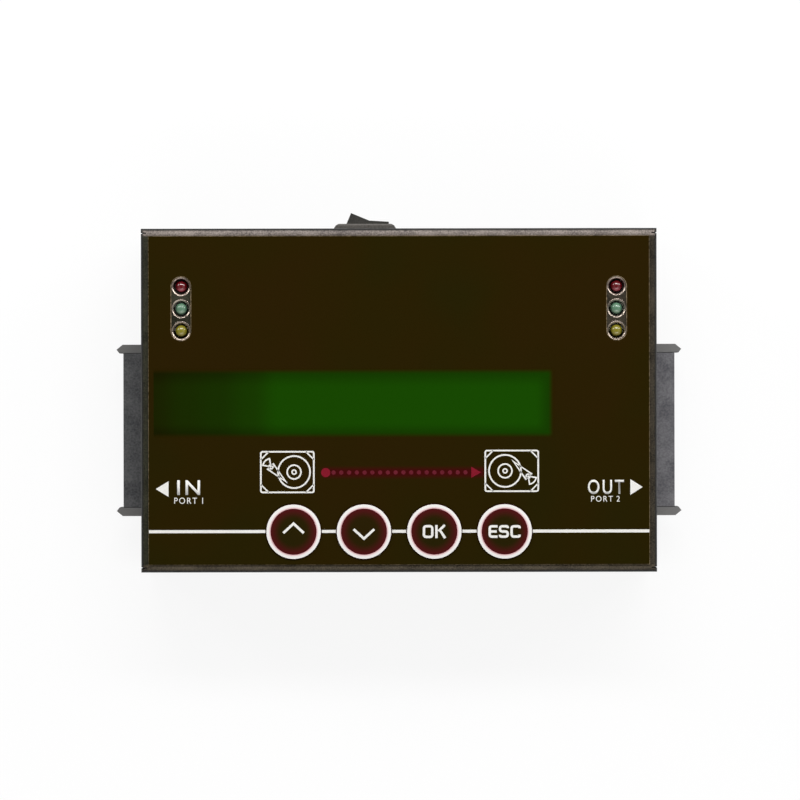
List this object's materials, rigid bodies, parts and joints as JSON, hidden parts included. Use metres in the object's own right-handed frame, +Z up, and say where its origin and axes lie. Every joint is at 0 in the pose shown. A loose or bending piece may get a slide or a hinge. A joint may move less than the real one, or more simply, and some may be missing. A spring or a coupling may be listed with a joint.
{
  "type": "drive duplicator",
  "caption": "Stand-alone desktop drive duplicator: a flat folded steel case with a printed control panel, display, round keys, status lamps, rocker switch and a drive port on each side.",
  "frame": {"origin": "middle of the whole footprint, on the surface that the feet stand on", "axes": "+X towards the target drive port, +Y towards the power switch at the back, +Z up out of the control panel"},
  "size_m": [0.1406, 0.0882, 0.0296],
  "materials": {
    "black_coat": "satin",
    "black_rubber": "matte",
    "panel_print": "satin",
    "green_window": "gloss",
    "dark_plastic": "matte",
    "red_lens": "gloss",
    "green_lens": "gloss",
    "yellow_lens": "gloss",
    "natural_plastic": "matte",
    "tinned_metal": "satin",
    "black_tin": "satin",
    "lcd_glass": "gloss",
    "backlight": "matte",
    "green_board": "satin",
    "gold_plate": "polished",
    "brass": "satin",
    "black_screw": "satin",
    "port_plastic": "matte",
    "switch_plastic": "satin",
    "wire_sleeve": "satin",
    "chip_resin": "matte",
    "black_anodised": "satin",
    "ferrite": "matte",
    "can_metal": "satin",
    "key_cap": "satin",
    "white_plastic": "matte"
  },
  "bodies": {
    "case": {"top_cover": "black_coat", "base_plate": "black_coat", "rubber_feet": "black_rubber", "panel_overlay": "panel_print", "display_window": "green_window", "tact_switches": "dark_plastic", "red_lamps": "red_lens", "green_lamps": "green_lens", "yellow_lamps": "yellow_lens", "lamp_spacers": "natural_plastic", "lamp_leads": "tinned_metal", "lcd_bezel": "black_tin", "lcd_glass": "lcd_glass", "lcd_backlight": "backlight", "lcd_board": "green_board", "lcd_header": "dark_plastic", "lcd_socket": "dark_plastic", "lcd_pins": "gold_plate", "main_board": "green_board", "keypad_board": "green_board", "keypad_header": "dark_plastic", "keypad_socket": "dark_plastic", "keypad_pins": "gold_plate", "case_posts": "tinned_metal", "board_posts": "brass", "lcd_posts": "tinned_metal", "keypad_posts": "tinned_metal", "case_screws": "black_screw", "source_port": "port_plastic", "target_port": "port_plastic", "source_contacts": "gold_plate", "target_contacts": "gold_plate", "rocker_housing": "switch_plastic", "rocker_terminals": "tinned_metal", "rocker_wires": "wire_sleeve", "jack_body": "dark_plastic", "jack_pin": "tinned_metal", "jack_legs": "tinned_metal", "processor": "chip_resin", "heat_sink": "black_anodised", "memory_chips": "chip_resin", "power_coils": "ferrite", "capacitors": "can_metal", "buzzer": "dark_plastic", "crystal": "tinned_metal"},
    "rocker": {"rocker_paddle": "switch_plastic"},
    "key_up": {"key_up": "key_cap", "plunger_up": "white_plastic"},
    "key_down": {"key_down": "key_cap", "plunger_down": "white_plastic"},
    "key_ok": {"key_ok": "key_cap", "plunger_ok": "white_plastic"},
    "key_esc": {"key_esc": "key_cap", "plunger_esc": "white_plastic"}
  },
  "joints": [
    {"name": "key_up_press", "type": "slide", "parent": "case", "child": "key_up", "axis": [0, 0, -1], "range_m": [0, 0.0005], "stiffness_N_per_m": 1200, "springref_m": -0.0004},
    {"name": "key_down_press", "type": "slide", "parent": "case", "child": "key_down", "axis": [0, 0, -1], "range_m": [0, 0.0005], "stiffness_N_per_m": 1200, "springref_m": -0.0004},
    {"name": "key_ok_press", "type": "slide", "parent": "case", "child": "key_ok", "axis": [0, 0, -1], "range_m": [0, 0.0005], "stiffness_N_per_m": 1200, "springref_m": -0.0004},
    {"name": "key_esc_press", "type": "slide", "parent": "case", "child": "key_esc", "axis": [0, 0, -1], "range_m": [0, 0.0005], "stiffness_N_per_m": 1200, "springref_m": -0.0004},
    {"name": "power_rocker", "type": "hinge", "parent": "case", "child": "rocker", "pos_m": [-0.0083, 0.03778, 0.01525], "axis": [0, 0, 1], "range_deg": [0, 26]}
  ]
}
